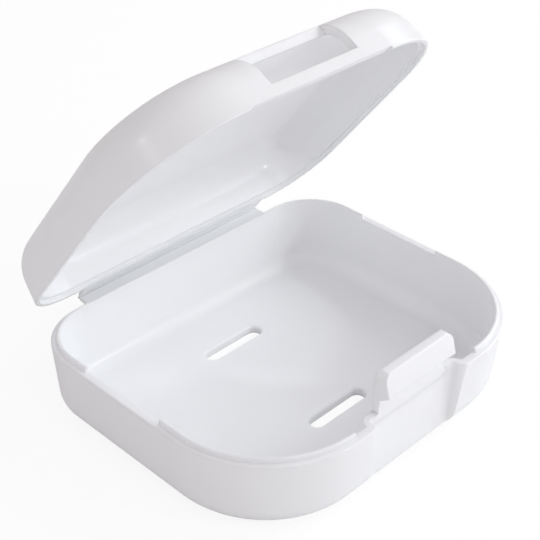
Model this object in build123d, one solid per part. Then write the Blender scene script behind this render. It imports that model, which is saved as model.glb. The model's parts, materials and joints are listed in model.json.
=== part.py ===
"""Denture case: a one-shot moulded polypropylene box with a living hinge and a press-in snap latch.

Frame: millimetres, +Z up, X along the hinge, +Y towards the hinge, -Y towards the latch.
The origin is the middle of the tray's underside, on the table. The lid is modelled shut, in its
place over the tray, and then swung open about the hinge's crease to the pose it is kept in.
"""

import math
import os

from build123d import *

# ---- Overall sizes -------------------------------------------------------------------------
case_width = 80.0  # along the hinge, across the rims
case_depth = 65.0  # latch side to hinge side, across the rims
tray_height = 16.0  # table to the tray's rim
lid_height = 11.5  # lid's rim to the outside of its crown
front_corner = 22.5  # plan radius of the two corners beside the latch
rear_corner = 12.5  # plan radius of the two corners beside the hinge
open_angle = 52.3  # how far the lid stands open, from shut

# ---- Shells --------------------------------------------------------------------------------
wall = 1.75  # side walls of tray and lid, measured level
floor_thickness = 1.75
crown_thickness = 1.75
tray_draft = 4.2  # degrees that the tray's walls lean in towards the table
lid_draft = 8.5  # degrees that the lid's walls lean in towards the crown
tray_edge = 5.4  # outside round between the tray's walls and its floor
lid_edge = 7.8  # outside round between the lid's walls and its crown
rim_bevel = 0.2  # broken outer edge of each rim
seam_gap = 0.15  # between the two rims when the case is shut

# ---- Lip that centres the lid --------------------------------------------------------------
lip_inset = 1.05  # ledge outside the lip, which carries the lid's rim
lip_height = 1.0
lip_bevel = 0.25  # lead-in on the lip's outer edge
lip_clearance = 0.15  # around the lip, inside the lid's rebate
side_gap_length = 20.4  # break in the lip along each side wall
side_gap_centre = 5.1  # that break's middle, towards the hinge
latch_gap = 34.0  # break in the lip for the latch

# ---- Drain slots in the floor --------------------------------------------------------------
slot_length = 15.0
slot_width = 3.2
slot_chamfer = 0.3  # eased upper edge
front_slot_y = -12.8
rear_slot_y = 16.4

# ---- Recess in the tray's front wall, which carries the latch on its panel -----------------
recess_side_room = 1.75  # flat panel left bare at each end of the hook
neck_set_back = 0.75  # hook's neck, behind the lid's front wall
recess_root_round = 1.0  # where the panel turns forward into each end of the recess
panel_thickness = 1.4
panel_foot_round = 4.0  # round between the panel's face and the underside
notch_depth = 0.8  # panel's top edge, below the rim

# ---- Latch hook ----------------------------------------------------------------------------
hook_width = 18.9
head_room = 1.05  # hook's top, below the inside of the lid's crown when the case is shut
hook_reach = 2.1  # tip of the barb, out from the neck
hook_slope = 1.5  # rise of the barb's underside from the neck to its tip
hook_head_lean = 1.3  # how far the head's face falls back from the barb's tip to its top
hook_back_round = 0.8  # back of the head's top
hook_edge = 0.25  # barb's tip
hook_brow_round = 0.5  # front of the head's top
hook_corner = 1.8  # upper corners of the head, seen from the front
pivot_clearance = 0.03  # hook's round root in its seat
root_end_clearance = 0.1  # ends of the hook's root in its seat

# ---- Window in the lid that the barb snaps into --------------------------------------------
window_side_room = 1.25  # window's ends, clear of the hook's
press_room = 1.1  # window's reach behind the hook, for it to be pressed back
bar_height = 2.75  # strip of wall left under the window, which the barb holds down
bar_relief = 0.4  # bar's lower edge, raised off the rim over the latch
bar_relief_overlap = 0.5  # at each end, past the break in the lip

# ---- Living hinge --------------------------------------------------------------------------
hinge_width = 49.6
leaf_length = 2.8  # from each rim's rear edge to the crease
leaf_root = 0.9  # thickness at the wall
leaf_tip = 0.6  # thickness beside the crease
crease_radius = 0.35
crease_clearance = 0.03  # lid's leaf around the crease
leaf_end_gap = 0.1  # lid's leaf stops this far short of the crease's middle

# ---- Places worked out from the sizes above ------------------------------------------------
front_y = -case_depth / 2
rear_y = case_depth / 2
side_x = case_width / 2
lid_rim_z = tray_height + seam_gap
crown_z = lid_rim_z + lid_height
notch_z = tray_height - notch_depth
recess_width = hook_width + 2 * recess_side_room
recess_depth = wall + neck_set_back
panel_y = front_y + recess_depth
panel_back_y = panel_y + panel_thickness
pivot_y = panel_y + panel_thickness / 2
hook_underside = seam_gap + bar_height
hook_rise = seam_gap + lid_height - crown_thickness - head_room
window_width = hook_width + 2 * window_side_room
window_reach = recess_depth + panel_thickness + press_room
crease_y = rear_y + leaf_length
crease_z = tray_height + seam_gap / 2
core_inset = 0.85 * rear_corner  # where a shell's swept edge gives way to its flat middle
margin = 1.0  # how far a cut runs past the face it opens
far = case_width + case_depth  # reaches past everything that a cut has to clear


def rim_path():
    """The outline that both rims share, round the case from the middle of the hinge side."""
    rear_x, front_x = side_x - rear_corner, side_x - front_corner
    rear_arc_y, front_arc_y = rear_y - rear_corner, front_y + front_corner
    return Wire(
        [
            Edge.make_line((0, rear_y), (-rear_x, rear_y)),
            CenterArc((-rear_x, rear_arc_y), rear_corner, 90, 90).edge(),
            Edge.make_line((-side_x, rear_arc_y), (-side_x, front_arc_y)),
            CenterArc((-front_x, front_arc_y), front_corner, 180, 90).edge(),
            Edge.make_line((-front_x, front_y), (front_x, front_y)),
            CenterArc((front_x, front_arc_y), front_corner, 270, 90).edge(),
            Edge.make_line((side_x, front_arc_y), (side_x, rear_arc_y)),
            CenterArc((rear_x, rear_arc_y), rear_corner, 0, 90).edge(),
            Edge.make_line((rear_x, rear_y), (0, rear_y)),
        ]
    )


def side_face(corners, rounds={}, bevels={}):
    """A face in Y and Z. rounds maps a corner to its radius, and bevels one to its set-back."""
    face = make_face(Polyline(*corners, close=True))
    for corner, radius in rounds.items():
        face = fillet(face.vertices().sort_by_distance((*corner, 0))[0], radius)
    for corner, length in bevels.items():
        face = chamfer(face.vertices().sort_by_distance((*corner, 0))[0], length)
    return Plane.YZ * face


def swept_ring(section):
    """A section of the hinge-side wall, swept once round the rim's outline."""
    return sweep(section, path=rim_path())


def across(face, width):
    """A face in Y and Z, made into a bar of that width across the middle of the case."""
    return extrude(face, width / 2, both=True)


def block(x0, x1, y0, y1, z0, z1):
    """A plain box between two corners, for cutting."""
    return Pos((x0 + x1) / 2, (y0 + y1) / 2, (z0 + z1) / 2) * Box(x1 - x0, y1 - y0, z1 - z0)


def bowl(inset, rim_z, end_z, draft, edge_round, bevel=0.0):
    """A solid bowl: walls lean in from the rim to a rounded edge and a flat end."""
    lean = abs(end_z - rim_z) * math.tan(math.radians(draft))
    rim_corner = (rear_y - inset, rim_z)
    end_corner = (rear_y - inset - lean, end_z)
    core_y = rear_y - core_inset
    corners = [rim_corner, end_corner, (core_y, end_z), (core_y, rim_z)]
    bevels = {rim_corner: bevel} if bevel else {}
    ring = swept_ring(side_face(corners, {end_corner: edge_round}, bevels))
    middle = Rectangle(case_width - 2 * core_inset, case_depth - 2 * core_inset)
    middle = fillet(middle.vertices().group_by(Axis.Y)[0], front_corner - core_inset)
    middle = fillet(middle.vertices().group_by(Axis.Y)[-1], rear_corner - core_inset)
    return ring + Pos(0, 0, min(rim_z, end_z)) * extrude(middle, abs(end_z - rim_z))


def recess_plan():
    """Plan of the front recess: a flat back, and ends that swing forward and out in an S."""
    half, root = recess_width / 2, recess_root_round
    brow = recess_depth - root
    reach, turn_y = half + recess_depth, panel_y - root
    return make_face(
        [
            Line((-half, panel_y), (half, panel_y)),
            CenterArc((half, turn_y), root, 0, 90),
            CenterArc((reach, turn_y), brow, 180, 90),
            Polyline((reach, front_y), (reach, -far), (-reach, -far), (-reach, front_y)),
            CenterArc((-reach, turn_y), brow, 270, 90),
            CenterArc((-half, turn_y), root, 90, 90),
        ]
    )


def step_plan():
    """Plan of the step behind the recess, which keeps the panel's thickness round its roots."""
    corner_round = recess_root_round + panel_thickness
    wide = recess_width + 2 * corner_round
    deep = panel_back_y - front_y - wall / 2
    plan = Pos(0, panel_back_y - deep / 2) * Rectangle(wide, deep)
    return fillet(plan.vertices().group_by(Axis.Y)[-1], corner_round)


def behind_panel(face_y, foot_z, foot_round):
    """All that lies inside a panel's face, which turns under in a round at its foot."""
    top = tray_height + far
    corners = [(face_y, top), (face_y, foot_z), (far, foot_z), (far, top)]
    return across(side_face(corners, {(face_y, foot_z): foot_round}), far)


def lip_ring():
    """The lip that centres the lid: low, inset from the rim, broken at the sides and the latch."""
    outer_y, inner_y = rear_y - lip_inset, rear_y - wall
    top = tray_height + lip_height
    corners = [(outer_y, tray_height), (inner_y, tray_height), (inner_y, top), (outer_y, top)]
    ring = swept_ring(side_face(corners, bevels={(outer_y, top): lip_bevel}))
    break_front = side_gap_centre - side_gap_length / 2
    break_rear = side_gap_centre + side_gap_length / 2
    side_breaks = block(-far, far, break_front, break_rear, 0, far)
    latch_break = block(-latch_gap / 2, latch_gap / 2, -far, 0, 0, far)
    return ring - side_breaks - latch_break


def drain_slot(y):
    """A round-ended slot through the floor, with its upper edge eased."""
    through = extrude(SlotOverall(slot_length, slot_width), 2 * floor_thickness)
    eased = SlotOverall(slot_length + 2 * slot_chamfer, slot_width + 2 * slot_chamfer)
    lead_in = extrude(Pos(0, 0, floor_thickness) * eased, -slot_chamfer, taper=45)
    return Pos(0, y, 0) * (Pos(0, 0, -floor_thickness / 2) * through + lead_in)


def make_base_tray():
    outside = bowl(0, tray_height, 0, tray_draft, tray_edge, rim_bevel)
    inside = bowl(wall, tray_height, floor_thickness, tray_draft, tray_edge - wall)

    # the wall steps in behind the recess and keeps an even thickness round its ends
    pocket = extrude(recess_plan(), tray_height + margin)
    pocket -= behind_panel(panel_y, 0, panel_foot_round)
    step = extrude(step_plan(), tray_height)
    step -= behind_panel(panel_back_y, floor_thickness, panel_foot_round - panel_thickness)

    # the hook's neck stands in a notch, between shoulders that keep the rim's height
    half = hook_width / 2 + root_end_clearance
    notch = block(-half, half, -far, panel_back_y + margin, notch_z, far)
    seat_radius = panel_thickness / 2 + pivot_clearance
    seat = cylinder_across(pivot_y, notch_z, seat_radius, 2 * half)
    tray = outside - (inside - step) + lip_ring()
    tray = tray - pocket - notch - seat
    return tray - drain_slot(front_slot_y) - drain_slot(rear_slot_y)


def cylinder_across(y, z, radius, width):
    """A round bar along the hinge's direction."""
    return Pos(0, y, z) * Rot(0, 90, 0) * Cylinder(radius, width)


def make_latch_hook():
    """Neck and barbed head, turning on a round root in the seat on top of the front panel."""
    top = tray_height + hook_rise
    neck_z = tray_height + hook_underside
    tip = (panel_y - hook_reach, neck_z + hook_slope)
    brow = (panel_y - hook_reach + hook_head_lean, top)
    back_top = (panel_back_y, top)
    corners = [
        (panel_y, notch_z),
        (panel_y, neck_z),
        tip,
        brow,
        back_top,
        (panel_back_y, notch_z),
    ]
    rounds = {tip: hook_edge, brow: hook_brow_round, back_top: hook_back_round}
    body = across(side_face(corners, rounds), hook_width)
    front_view = Rectangle(hook_width, 2 * hook_rise)
    front_view = fillet(front_view.vertices().group_by(Axis.Y)[-1], hook_corner)
    outline = extrude(Plane.XZ * (Pos(0, tray_height) * front_view), far, both=True)
    root = cylinder_across(pivot_y, notch_z, panel_thickness / 2, hook_width)
    return (body & outline) + root


def make_lid_shell():
    outside = bowl(0, lid_rim_z, crown_z, lid_draft, lid_edge, rim_bevel)
    inside = bowl(wall, lid_rim_z, crown_z - crown_thickness, lid_draft, lid_edge - wall)

    # rebate that drops over the tray's lip, left out over the latch
    skirt_y = rear_y - lip_inset + lip_clearance
    inner_y = rear_y - wall - margin
    mouth_z = lid_rim_z - margin
    ceiling = tray_height + lip_height + lip_clearance
    corners = [(skirt_y, mouth_z), (inner_y, mouth_z), (inner_y, ceiling), (skirt_y, ceiling)]
    rebate = swept_ring(side_face(corners))
    bar_half = latch_gap / 2 - lip_clearance
    rebate -= block(-bar_half, bar_half, -far, 0, 0, far)

    half = window_width / 2
    window = block(-half, half, -far, front_y + window_reach, lid_rim_z + bar_height, far)
    relief_half = latch_gap / 2 + bar_relief_overlap
    relief = block(-relief_half, relief_half, -far, 0, 0, lid_rim_z + bar_relief)
    return outside - inside - rebate - window - relief


def make_hinge_base_leaf():
    corners = [
        (rear_y - wall, tray_height),
        (rear_y - wall, tray_height - leaf_root),
        (rear_y, tray_height - leaf_root),
        (crease_y, tray_height - leaf_tip),
        (crease_y, tray_height),
    ]
    leaf = across(side_face(corners), hinge_width)
    return leaf - bowl(0, tray_height, 0, tray_draft, tray_edge, rim_bevel)


def make_hinge_lid_leaf():
    end_y = crease_y - leaf_end_gap
    corners = [
        (rear_y - wall, lid_rim_z),
        (rear_y - wall, lid_rim_z + leaf_root),
        (rear_y, lid_rim_z + leaf_root),
        (end_y, lid_rim_z + leaf_tip),
        (end_y, lid_rim_z),
    ]
    leaf = across(side_face(corners), hinge_width)
    leaf -= bowl(0, lid_rim_z, crown_z, lid_draft, lid_edge, rim_bevel)
    room = crease_radius + crease_clearance
    return leaf - cylinder_across(crease_y, crease_z, room, hinge_width + margin)


def make_hinge_crease(base_leaf):
    """The thin web that both leaves fold about, rolled on the end of the tray's leaf."""
    return cylinder_across(crease_y, crease_z, crease_radius, hinge_width) - base_leaf


def swung_open(piece):
    """A piece of the shut lid, turned about the crease to where the lid stands open."""
    return piece.rotate(Axis((0, crease_y, crease_z), (-1, 0, 0)), open_angle)


os.makedirs("parts", exist_ok=True)
base_leaf = make_hinge_base_leaf()
nodes = {
    "base_tray": make_base_tray(),
    "latch_hook": make_latch_hook(),
    "hinge_base_leaf": base_leaf,
    "hinge_crease": make_hinge_crease(base_leaf),
    "hinge_lid_leaf": swung_open(make_hinge_lid_leaf()),
    "lid_shell": swung_open(make_lid_shell()),
}
for name, piece in nodes.items():
    export_step(piece, f"parts/{name}.step")
    print(name, "volume", round(piece.volume), "solids", len(piece.solids()))
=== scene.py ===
# %% [markdown]
# # A moulded denture case, half open on its living hinge
#
# The whole case is one shot of white polypropylene: a drained tray, a domed lid, and between them
# a strip so thin that it folds for years without cracking. The rigid shapes come from the packed
# model and are used as they are. What this script adds is the folded strip itself, the look of
# the plastic, and the camera, lamps and table.
#
# First the imported model is loaded, because everything else is placed from it.

import json
import math

import bpy
from mathutils import Matrix, Vector

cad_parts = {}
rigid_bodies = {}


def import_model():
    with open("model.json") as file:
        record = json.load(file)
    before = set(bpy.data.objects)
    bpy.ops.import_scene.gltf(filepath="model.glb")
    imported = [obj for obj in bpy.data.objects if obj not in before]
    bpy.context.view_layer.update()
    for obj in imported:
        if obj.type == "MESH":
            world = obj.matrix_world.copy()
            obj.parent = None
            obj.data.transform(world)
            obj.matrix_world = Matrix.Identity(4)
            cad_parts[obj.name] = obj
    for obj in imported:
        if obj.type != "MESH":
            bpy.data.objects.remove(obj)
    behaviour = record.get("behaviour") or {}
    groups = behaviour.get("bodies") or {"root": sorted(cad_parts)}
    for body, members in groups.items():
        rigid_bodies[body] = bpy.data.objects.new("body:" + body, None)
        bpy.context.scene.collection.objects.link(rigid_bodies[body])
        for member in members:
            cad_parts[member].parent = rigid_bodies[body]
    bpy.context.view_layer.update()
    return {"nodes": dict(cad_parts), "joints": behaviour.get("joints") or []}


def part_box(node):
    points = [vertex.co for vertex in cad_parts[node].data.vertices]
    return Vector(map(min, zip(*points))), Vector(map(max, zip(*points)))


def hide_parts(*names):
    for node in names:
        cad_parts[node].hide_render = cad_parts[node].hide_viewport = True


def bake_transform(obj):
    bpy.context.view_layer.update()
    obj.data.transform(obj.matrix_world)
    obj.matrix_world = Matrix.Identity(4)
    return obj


MM = 0.001  # one millimetre, in the metres that the scene is built in

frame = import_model()
print("nodes:", sorted(frame["nodes"]))

# %% [markdown]
# ## Where things are
#
# The hinge strip has to meet two rims and fold about one line, so its places are read from the
# model and not typed again: the crease is where the lid's joint turns, and the tray's leaf gives
# the strip's width, its level and how thick it is at the wall.

# %% Read the crease, the opening angle and the leaf from the model
joints = {joint["name"]: joint for joint in frame["joints"]}
crease = Vector(joints["lid_hinge"]["pos_m"])
open_angle = math.radians(-joints["lid_hinge"]["range_deg"][0])  # from shut to where it stands
leaf_low, leaf_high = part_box("hinge_base_leaf")
tray_low, tray_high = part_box("base_tray")
rim_z = leaf_high.z
print("crease at y, z, mm:", round(crease.y / MM, 3), round(crease.z / MM, 3))
print("lid stands open by", round(math.degrees(open_angle), 1), "degrees")

# %% [markdown]
# ## Small helpers for modelling
#
# Blender's operators act on whatever is selected, and loading leaves the model's nodes selected.
# So each new piece starts from an empty selection, and inside edit mode the faces and corners to
# work on are picked by where they are, as one would click on them.


# %% Start a piece, and pick its corners by place
WELD = 0.001 * MM  # corners nearer than this are one
SMOOTH_BELOW = math.radians(35)  # faces that meet at less than this are shaded as one


def start_cube(name, low, high):
    """A box between two corners, alone in the selection and ready for edit mode."""
    bpy.ops.object.select_all(action="DESELECT")
    low, high = Vector(low), Vector(high)
    bpy.ops.mesh.primitive_cube_add(size=1, location=(low + high) / 2, scale=high - low)
    bpy.ops.object.transform_apply(location=True, rotation=True, scale=True)
    piece = bpy.context.object
    piece.name = piece.data.name = name
    return piece


def pick(piece, wanted):
    """Selects the corners for which wanted(place) is true, and the edges and faces between them."""
    bpy.ops.mesh.select_mode(type="VERT")
    bpy.ops.mesh.select_all(action="DESELECT")
    bpy.ops.object.mode_set(mode="OBJECT")
    for vertex in piece.data.vertices:
        vertex.select = wanted(vertex.co)
    bpy.ops.object.mode_set(mode="EDIT")
    return [vertex.co.copy() for vertex in piece.data.vertices if vertex.select]


# %% [markdown]
# ## The living hinge
#
# On the real case the strip is moulded flat and then folded once while it is warm: a leaf on each
# rim, and a web about a third of a millimetre thick between them, which does all the bending. The
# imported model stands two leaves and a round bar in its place, since a solid can't bend.
#
# It could be drawn as a flat strip with a bend modifier, but then the fold's place would depend
# on the modifier's limits. Here it is grown as a folded sheet: the tray's leaf starts as a box,
# its free end is drawn down to the web, the web is spun about the crease, and the lid's leaf
# grows out of the far end of the spin. One mesh then runs across the joint without a gap.

# %% The strip's own sizes
SET_DOWN = 0.02 * MM  # strip's inner faces, below the two rims, so that no two faces coincide
ROOT_DEPTH = 0.6 * MM  # how far each leaf runs on inside the wall that carries it
ROOT_THICK = leaf_high.z - leaf_low.z
LEAF_THICK = 0.6 * MM  # beside the fold
WEB_THICK = 0.26 * MM
WEB_REACH = 0.35 * MM  # flat web on each side of the crease
TAPER_REACH = 0.75 * MM  # where each leaf has its full thickness again
FOLD_STEPS = 12
fold = math.pi - open_angle  # how far the strip turns at the crease
inner_z = rim_z - SET_DOWN
root_y = tray_high.y - ROOT_DEPTH
print("fold at the crease:", round(math.degrees(fold), 1), "degrees")

# %% The tray's leaf, from the wall to where it thins
hinge = start_cube(
    "living_hinge",
    (leaf_low.x, root_y, inner_z - LEAF_THICK),
    (leaf_high.x, crease.y - TAPER_REACH, inner_z),
)
bpy.ops.object.mode_set(mode="EDIT")
middle_y = (root_y + crease.y) / 2
pick(hinge, lambda place: place.y < middle_y and place.z < inner_z - LEAF_THICK / 2)
bpy.ops.transform.translate(value=(0, 0, LEAF_THICK - ROOT_THICK))
print("tray leaf, mm:", round((crease.y - tray_high.y) / MM, 2), "long")


# %% Grow the strip from its free end
def grow(piece, ahead, outward, thicker):
    """Extrudes the selected end of the strip, then moves that end's outer edge by thicker."""
    bpy.ops.mesh.extrude_region_move(TRANSFORM_OT_translate={"value": ahead})
    bpy.ops.object.mode_set(mode="OBJECT")
    end = [vertex for vertex in piece.data.vertices if vertex.select]
    middle = sum(vertex.co.dot(outward) for vertex in end) / len(end)
    for vertex in end:
        if vertex.co.dot(outward) > middle:
            vertex.co += outward * thicker
    bpy.ops.object.mode_set(mode="EDIT")


down = Vector((0, 0, -1))
towards_crease = Vector((0, 1, 0))
pick(hinge, lambda place: place.y > crease.y - TAPER_REACH - SET_DOWN)
grow(hinge, towards_crease * (TAPER_REACH - WEB_REACH), down, WEB_THICK - LEAF_THICK)
grow(hinge, towards_crease * WEB_REACH, down, 0)

# %% Spin the web about the crease, and grow the lid's leaf out of it
bpy.ops.mesh.spin(steps=FOLD_STEPS, angle=fold, center=crease, axis=(1, 0, 0))
turn = Matrix.Rotation(fold, 3, "X")
away = turn @ towards_crease
lid_outward = turn @ down
leaf_run = crease.y - tray_high.y + ROOT_DEPTH - TAPER_REACH
grow(hinge, away * WEB_REACH, lid_outward, 0)
grow(hinge, away * (TAPER_REACH - WEB_REACH), lid_outward, LEAF_THICK - WEB_THICK)
grow(hinge, away * leaf_run, lid_outward, ROOT_THICK - LEAF_THICK)
bpy.ops.mesh.select_all(action="SELECT")
bpy.ops.mesh.remove_doubles(threshold=WELD)
bpy.ops.mesh.normals_make_consistent(inside=False)
bpy.ops.object.mode_set(mode="OBJECT")
print("lid leaf leaves the crease along", [round(part, 3) for part in away])

# %% [markdown]
# A mould leaves no knife edges: the steps between leaf and web are run out in small rounds. A
# bevel limited by angle finds those edges by itself and leaves the fine steps of the fold alone.

# %% Round the strip's edges, and finish it
EDGE_ROUND = 0.12 * MM
EDGE_SEGMENTS = 3
EDGE_ABOVE = math.radians(20)  # the fold's own steps turn by less than this
soften = hinge.modifiers.new("soften", "BEVEL")
soften.width, soften.segments = EDGE_ROUND, EDGE_SEGMENTS
soften.limit_method, soften.angle_limit = "ANGLE", EDGE_ABOVE
bpy.context.view_layer.objects.active = hinge
bpy.ops.object.modifier_apply(modifier=soften.name)
bpy.ops.object.shade_smooth_by_angle(angle=SMOOTH_BELOW)
print("living hinge:", len(hinge.data.polygons), "faces")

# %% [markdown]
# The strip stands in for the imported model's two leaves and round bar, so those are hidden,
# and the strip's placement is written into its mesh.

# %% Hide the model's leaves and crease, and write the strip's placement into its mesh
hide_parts("hinge_base_leaf", "hinge_crease", "hinge_lid_leaf")
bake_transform(hinge)

# %% [markdown]
# ## The latch tongue
#
# On the real case the barbed hook is no separate part: it rises out of the front wall as a
# springy tongue, and a thumb bends it back at its foot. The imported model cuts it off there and
# gives it a round root to turn on, which shows as a hairline across the wall.
#
# The head is already right, so a copy of it is taken and its loose triangles are merged. Below
# the barb it is cut level, and the neck is drawn down again as one form that ends inside the
# wall. The foot stands a few hundredths of a millimetre proud and sinks in slowly, down and to
# both sides, so the wall and the tongue meet without a line. Modelling the whole hook anew would
# risk losing its shape.

# %% Copy the hook, and cut it off above its round root
NECK_CUT = 0.6 * MM  # above the rim
press = Vector(joints["latch_press"]["pos_m"])
neck_cut = rim_z + NECK_CUT

bpy.ops.object.select_all(action="DESELECT")
bpy.context.view_layer.objects.active = bpy.data.objects["latch_hook"]
bpy.context.object.select_set(True)
bpy.ops.object.duplicate()
bpy.ops.object.parent_clear(type="CLEAR_KEEP_TRANSFORM")
tongue = bpy.context.object
tongue.name = tongue.data.name = "latch_tongue"
bpy.ops.object.mode_set(mode="EDIT")
bpy.ops.mesh.select_all(action="SELECT")
bpy.ops.mesh.remove_doubles(threshold=WELD)
bpy.ops.mesh.customdata_custom_splitnormals_clear()
bpy.ops.mesh.bisect(
    plane_co=(0, 0, neck_cut), plane_no=(0, 0, 1), use_fill=True, clear_inner=True
)
neck = pick(tongue, lambda place: place.z < neck_cut + WELD)
hook_half = max(place.x for place in neck)
neck_half = max(abs(place.y - press.y) for place in neck)
print("neck, mm:", round(2 * hook_half / MM, 2), "wide,", round(2 * neck_half / MM, 2), "thick")

# %% Draw the neck down into the wall
FOOT = ((0.02, 0.0), (0.3, 0.02), (1.4, 0.02), (3.4, -0.05))  # mm below the rim, mm proud
level, half = neck_cut, neck_half
for drop, proud in FOOT:
    lower, wanted = rim_z - drop * MM, neck_half + proud * MM
    bpy.ops.mesh.extrude_region_move(TRANSFORM_OT_translate={"value": (0, 0, lower - level)})
    bpy.ops.transform.resize(value=(1, wanted / half, 1), center_override=press)
    level, half = lower, wanted
print("foot ends at z, mm:", round(level / MM, 2))

# %% Spread the foot sideways into the shoulders
SPREAD = ((0.6, 1.0), (1.0, 0.95))  # mm further out, share of the thickness there
for side in (-1, 1):
    pick(tongue, lambda place: place.x * side > hook_half - WELD and place.z < rim_z)
    for further, share in SPREAD:
        bpy.ops.mesh.extrude_region_move(
            TRANSFORM_OT_translate={"value": (side * further * MM, 0, 0)}
        )
        bpy.ops.transform.resize(value=(1, share, 1), center_override=press)
bpy.ops.mesh.select_all(action="SELECT")
bpy.ops.mesh.normals_make_consistent(inside=False)
bpy.ops.object.mode_set(mode="OBJECT")
bpy.ops.object.shade_smooth_by_angle(angle=SMOOTH_BELOW)
even = tongue.modifiers.new("even", "WEIGHTED_NORMAL")
even.keep_sharp = True
bpy.ops.object.modifier_apply(modifier=even.name)
print("latch tongue:", len(tongue.data.polygons), "faces")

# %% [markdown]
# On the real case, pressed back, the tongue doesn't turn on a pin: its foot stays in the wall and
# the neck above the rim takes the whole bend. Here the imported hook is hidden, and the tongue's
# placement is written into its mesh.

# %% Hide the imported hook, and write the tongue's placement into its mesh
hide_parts("latch_hook")
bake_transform(tongue)

# %% [markdown]
# ## Shader maths as plain Python
#
# The plastic's small variations are sums and products of noises. Wiring each Math node by hand
# hides what is being worked out, so one class wraps a socket and lets the usual signs add nodes.


# %% A socket that can be added, subtracted and multiplied
class Value:
    """A number that varies over a surface: one output socket in a material's node tree."""

    def __init__(self, nodes, socket):
        self.nodes, self.socket = nodes, socket

    def math(self, operation, *others, **settings):
        inputs = dict(enumerate([self, *others]))
        return self.nodes.add("ShaderNodeMath", {"operation": operation, **settings}, inputs)

    def __add__(self, other):
        return self.math("ADD", other)

    def __sub__(self, other):
        return self.math("SUBTRACT", other)

    def __mul__(self, other):
        return self.math("MULTIPLY", other)

    def __rsub__(self, other):
        return (self * -1).math("ADD", other)

    __radd__, __rmul__ = __add__, __mul__


class Nodes:
    """The nodes of a material or of the sky, under construction."""

    def __init__(self, owner):
        self.owner = owner
        owner.use_nodes = True
        self.tree = owner.node_tree
        self.tree.nodes.clear()

    def add(self, kind, settings, inputs, output=0):
        """Adds a node: settings first, then the values or links of its sockets."""
        node = self.tree.nodes.new(kind)
        for name, value in settings.items():
            setattr(node, name, value)
        for name, value in inputs.items():
            if isinstance(value, Value):
                self.tree.links.new(value.socket, node.inputs[name])
            else:
                node.inputs[name].default_value = value
        return None if output is None else Value(self, node.outputs[output])


# %% [markdown]
# ## The white polypropylene
#
# Moulded polypropylene is milky, not paper white: a faint blue cast, a satin gloss that is a
# little uneven from place to place, and, on a case that has been carried about, fine rubbing
# where things slide over it. A flat white would show none of that. Four things are layered:
# a slow drift of tint from the melt, a fine skin that breaks up the gloss, hairline scuffs in two
# directions, and rubbing near the edge that each piece wears on first. All four are faint.
#
# A polished mould leaves some shine over the satin, so the shader also has a weak coat with a
# lower roughness of its own: small crisp highlights lie on a broad soft one. The satin itself
# could be made glossier instead, but where its roughness went down to 0.24 trial renders showed
# patches of speckles, and from 0.28 up they didn't. So it starts at 0.28 and only rises.
#
# All of it is worked out from Object coordinates, which stay with a piece as it moves.

# %% Colours and finish of the plastic
MILK = (0.935, 0.945, 0.957, 1)  # where the melt looks densest
BRIGHT_MILK = (0.95, 0.958, 0.968, 1)
GLOSS = 0.28  # roughness of an untouched moulded skin
PLASTIC_IOR = 1.49
SHINE = 0.3  # share of the surface that took the polish of the mould
SHINE_ROUGHNESS = 0.15
MILKINESS = 0.4  # share of the light that sinks in before it comes back
LIGHT_REACH = 1.5 * MM  # how far it spreads inside
SOFT_EDGE = 0.35 * MM  # corners catch the light as if rounded by this much


# %% Noise, scuffs and a band along an edge
HAIRLINE = (0.62, 0.72)  # where in the drawn-out noise a hairline starts, and is full


def noise(plastic, place, size, detail=2.0):
    """Soft noise from 0 to 1, whose lumps are about size across."""
    return plastic.add(
        "ShaderNodeTexNoise",
        {"noise_dimensions": "3D"},
        {"Vector": place, "Scale": 1 / size, "Detail": detail},
    )


def between(value, low, high):
    """0 below low, 1 above high, and a smooth ramp between them."""
    return value.nodes.add(
        "ShaderNodeMapRange",
        {"interpolation_type": "SMOOTHSTEP"},
        {"Value": value, "From Min": low, "From Max": high},
    )


def scuffs(plastic, place, turn, length, gap):
    """Hairlines in one direction: noise drawn out along its own X."""
    laid = plastic.add(
        "ShaderNodeMapping",
        {"vector_type": "TEXTURE"},
        {"Vector": place, "Rotation": turn, "Scale": (length, gap, gap)},
    )
    lines = plastic.add(
        "ShaderNodeTexNoise", {}, {"Vector": laid, "Scale": 1.0, "Detail": 1.0}
    )
    return between(lines, *HAIRLINE)


def mix_colours(share, first, second):
    """first where share is 0, second where it is 1."""
    colour_a, colour_b, colour_out = 6, 7, 2  # the Mix node's colour sockets, by place
    settings = {"data_type": "RGBA", "clamp_factor": True}
    inputs = {0: share, colour_a: first, colour_b: second}
    return share.nodes.add("ShaderNodeMix", settings, inputs, colour_out)


# %% [markdown]
# The corners of a moulding are never quite sharp. A Bevel node turns the surface's direction near
# an edge as a small round would, and the fine relief is laid on top of that with a Bump node. The
# relief is given in real depths: a thousandth of a millimetre for the skin, and eight of them for
# the slow swell that cooling leaves in a flat wall. The scuffs have no depth, only a duller gloss.

# %% Depth of the relief, and the shader that carries it
SKIN_RELIEF = 0.001 * MM
SWELL_RELIEF = 0.008 * MM
EDGE_SAMPLES = 6


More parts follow.
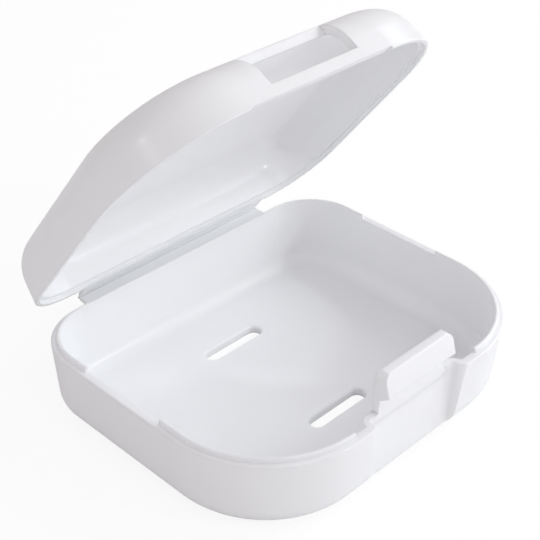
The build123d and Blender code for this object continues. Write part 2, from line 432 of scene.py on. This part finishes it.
def finish_plastic(plastic, tint, roughness, relief, milkiness):
    """Joins the worked-out tint, roughness and relief to the plastic's shader."""
    edges = plastic.add(
        "ShaderNodeBevel", {"samples": EDGE_SAMPLES}, {"Radius": SOFT_EDGE}, "Normal"
    )
    surface = plastic.add(
        "ShaderNodeBump", {}, {"Strength": 1.0, "Distance": 1.0, "Height": relief, "Normal": edges}
    )
    shader = plastic.add(
        "ShaderNodeBsdfPrincipled",
        {},
        {
            "Base Color": tint,
            "Roughness": roughness,
            "Normal": surface,
            "IOR": PLASTIC_IOR,
            "Coat Weight": SHINE,
            "Coat Roughness": SHINE_ROUGHNESS,
            "Subsurface Weight": milkiness,
            "Subsurface Radius": (1.0, 1.0, 1.0),
            "Subsurface Scale": LIGHT_REACH,
        },
    )
    plastic.add("ShaderNodeOutputMaterial", {}, {"Surface": shader}, None)


# %% The plastic itself
RUB_PATCH, DRIFT, SKIN, SWELL, WORN_PATCH = 6 * MM, 30 * MM, 0.7 * MM, 9 * MM, 16 * MM  # lumps
HAIRLINES = ((0.3, 0.2, 0.9), 24 * MM, 0.7 * MM)  # turn, length and gap
CROSS_HAIRLINES = ((-0.2, 0.4, 2.3), 18 * MM, 0.6 * MM)
RUB_RAMP, WORN_RAMP, CLEAR_RAMP = (0.42, 0.62), (0.45, 0.7), (0.3, 0.7)
RUB_TINT = 0.5  # how far rubbing takes the tint back towards the milky one
SKIN_DULL, DRIFT_DULL, HAIRLINE_DULL, RUB_DULL = 0.02, 0.04, 0.04, 0.1  # roughness they add


def white_polypropylene(name, rub_normal, rub_offset, rub_reach, milkiness=MILKINESS):
    """White moulded plastic, rubbed near the plane rub_normal . place = rub_offset."""
    plastic = Nodes(bpy.data.materials.new(name))
    place = plastic.add("ShaderNodeTexCoord", {}, {}, output="Object")

    height = plastic.add(
        "ShaderNodeVectorMath", {"operation": "DOT_PRODUCT"}, {0: place, 1: rub_normal}, "Value"
    )
    far_from_edge = (height - rub_offset).math("ABSOLUTE")
    patchy = noise(plastic, place, RUB_PATCH, 4.0)
    rubbed = (1 - between(far_from_edge, 0.0, rub_reach)) * between(patchy, *RUB_RAMP)

    drift = noise(plastic, place, DRIFT)
    skin = noise(plastic, place, SKIN, 3.0)
    swell = noise(plastic, place, SWELL)
    hairlines = scuffs(plastic, place, *HAIRLINES)
    cross_hairlines = scuffs(plastic, place, *CROSS_HAIRLINES)
    worn_patches = between(noise(plastic, place, WORN_PATCH, 1.0), *WORN_RAMP)
    hairlines = (hairlines + cross_hairlines) * worn_patches

    clear = between(drift, *CLEAR_RAMP) - rubbed * RUB_TINT
    tint = mix_colours(clear, MILK, BRIGHT_MILK)
    roughness = skin * SKIN_DULL + drift * DRIFT_DULL + hairlines * HAIRLINE_DULL
    roughness = roughness + rubbed * RUB_DULL + GLOSS
    relief = skin * SKIN_RELIEF + swell * SWELL_RELIEF
    finish_plastic(plastic, tint, roughness, relief, milkiness)
    return plastic.owner


# %% Put it on every piece, with the edge that each wears on first
RIM_RUB, BARB_RUB, CREASE_RUB = 0.9 * MM, 1.5 * MM, 4 * MM  # how far the rubbing reaches
BARB_LEVEL = 20.5 * MM  # above the table, about the barb's tip
STRIP_MILKINESS = 0.0  # the strip is thinner than the light would spread
shut_up = Vector((0, 0, 1))
lid_up = Matrix.Rotation(-open_angle, 3, "X") @ shut_up
lid_rub = lid_up.dot(crease)
finishes = {
    "base_tray": white_polypropylene("tray_plastic", shut_up, rim_z, RIM_RUB),
    "lid_shell": white_polypropylene("lid_plastic", lid_up, lid_rub, RIM_RUB),
    "latch_tongue": white_polypropylene("latch_plastic", shut_up, BARB_LEVEL, BARB_RUB),
    "living_hinge": white_polypropylene(
        "hinge_plastic", (0, 1, 0), crease.y, CREASE_RUB, STRIP_MILKINESS
    ),
}
for name, plastic in finishes.items():
    piece = bpy.data.objects[name]
    piece.data.materials.clear()
    piece.data.materials.append(plastic)
    print(name, "has", plastic.name)

# %% [markdown]
# ## Table and studio
#
# The case stands on a plain pale table under a white sky. The table throws light back up into
# the lid, so for every ray but the camera's it is simply white paper. The camera should see it as
# pure white with only a trace of the case's shadow. Raising the lamps until the paper clips would
# burn out the case too, so a share of plain white is mixed in for the camera's rays alone.

# %% The table
TABLE_HALF = 1.5
TABLE_DROP = 0.02 * MM  # table's top, below the case's underside
PAPER = (0.9, 0.9, 0.9, 1)
PLAIN_WHITE = 1.06  # strength of the white that is mixed in, where 1 is white
SHADOW_SHARE = 0.2  # how much of the case's shadow the white table keeps

bpy.ops.object.select_all(action="DESELECT")
bpy.ops.mesh.primitive_plane_add(size=2 * TABLE_HALF, location=(0, 0, -TABLE_DROP))
table = bpy.context.object
table.name = "table"

paper = Nodes(bpy.data.materials.new("white_table"))
seen = paper.add("ShaderNodeLightPath", {}, {}, "Is Camera Ray")
matt = paper.add("ShaderNodeBsdfDiffuse", {}, {"Color": PAPER}, "BSDF")
bright = paper.add("ShaderNodeEmission", {}, {"Strength": PLAIN_WHITE}, "Emission")
sheet = paper.add("ShaderNodeMixShader", {}, {0: seen * (1 - SHADOW_SHARE), 1: matt, 2: bright})
paper.add("ShaderNodeOutputMaterial", {}, {"Surface": sheet}, None)
table.data.materials.append(paper.owner)

# %% The sky, white to the camera and softer on the case
WORLD_LIGHT = 0.55
WORLD_TONE = (1.0, 0.945, 0.965, 1)
world = bpy.data.worlds.new("white_studio")
bpy.context.scene.world = world
studio = Nodes(world)
seen = studio.add("ShaderNodeLightPath", {}, {}, "Is Camera Ray")
strength = seen * (1 - WORLD_LIGHT) + WORLD_LIGHT
tone = mix_colours(seen, WORLD_TONE, (1, 1, 1, 1))
sky = studio.add("ShaderNodeBackground", {}, {"Color": tone, "Strength": strength})
studio.add("ShaderNodeOutputWorld", {}, {"Surface": sky}, None)

# %% [markdown]
# ## Lamps
#
# A broad round softbox on the right and a smaller one in front give the even light. They stand
# low, so that they reach in under the open lid. Two small lamps are there for the gloss alone: a
# point of light inside the lid, and a short streak on its left shoulder. One big lamp could do
# all of it, but then no surface would show a highlight. Each is placed by its bearing round the
# case and its height above the table.

# %% Lamps
LAMP_DISTANCE = 0.8
CASE_MIDDLE = Vector((0, 0, 20 * MM))
PANEL_TONE, LAMP_TONE = (0.917, 0.972, 1.0), (0.917, 0.968, 1.0)


def softbox(name, bearing, height, width, power, colour):
    """A round lamp facing the case; bearing is from its front towards its right, in degrees."""
    lamp = bpy.data.lights.new(name, "AREA")
    lamp.shape, lamp.size, lamp.energy, lamp.color = "DISK", width, power, colour
    holder = bpy.data.objects.new(name, lamp)
    bpy.context.scene.collection.objects.link(holder)
    bearing, height = math.radians(bearing), math.radians(height)
    towards = Vector((math.sin(bearing), -math.cos(bearing), math.tan(height))).normalized()
    holder.location = CASE_MIDDLE + towards * LAMP_DISTANCE
    holder.rotation_euler = towards.to_track_quat("Z", "Y").to_euler()
    print(name, "at", [round(part, 2) for part in holder.location])


softbox("right_panel", 70, 24, 0.7, 3.1, PANEL_TONE)
softbox("front_panel", -8, 42, 0.34, 0.5, LAMP_TONE)
softbox("key_lamp", 25, 25, 0.06, 0.8, LAMP_TONE)
softbox("left_lamp", -106, 43, 0.06, 0.22, LAMP_TONE)

# %% [markdown]
# ## Camera
#
# The camera looks down on the case from its front left, close enough that the tray in front is
# drawn larger than the lid behind. It is placed by its bearing, height and roll about the middle
# of the case's underside, and then moved sideways in its own plane until the case is framed. A
# lens shift would frame it too, but it would stay on when the camera is moved for other views.

# %% Camera
PICTURE_SIDE = 540  # pixels
FOCAL_LENGTH = 1251.23  # in the same pixels
SENSOR_SIDE = 36  # mm, over the picture's side
NEAREST = 0.01  # metres; anything nearer isn't drawn
AZIMUTH, ELEVATION, ROLL = math.radians(-46.0694), math.radians(33.7925), math.radians(0.98411)
DISTANCE = 252.641 * MM
ORIGIN_RIGHT, ORIGIN_DOWN = 20.261, 114.245  # pixels from the middle of the picture

backward = Vector(
    (
        math.sin(AZIMUTH) * math.cos(ELEVATION),
        -math.cos(AZIMUTH) * math.cos(ELEVATION),
        math.sin(ELEVATION),
    )
)
level = Vector((math.cos(AZIMUTH), math.sin(AZIMUTH), 0))
upright = backward.cross(level)
right = math.cos(ROLL) * level + math.sin(ROLL) * upright
up = math.cos(ROLL) * upright - math.sin(ROLL) * level
per_pixel = DISTANCE / FOCAL_LENGTH

camera = bpy.data.objects.new("camera", bpy.data.cameras.new("camera"))
bpy.context.scene.collection.objects.link(camera)
bpy.context.scene.camera = camera
camera.data.sensor_width = SENSOR_SIDE
camera.data.lens = FOCAL_LENGTH / PICTURE_SIDE * SENSOR_SIDE
camera.data.clip_start = NEAREST
aside, above = ORIGIN_RIGHT * per_pixel, ORIGIN_DOWN * per_pixel
place = backward * DISTANCE - right * aside + up * above
turned = Matrix((right, up, backward)).transposed()
camera.matrix_world = Matrix.Translation(place) @ turned.to_4x4()
bpy.context.scene.view_settings.view_transform = "Standard"
print("camera lens:", round(camera.data.lens, 2), "mm")
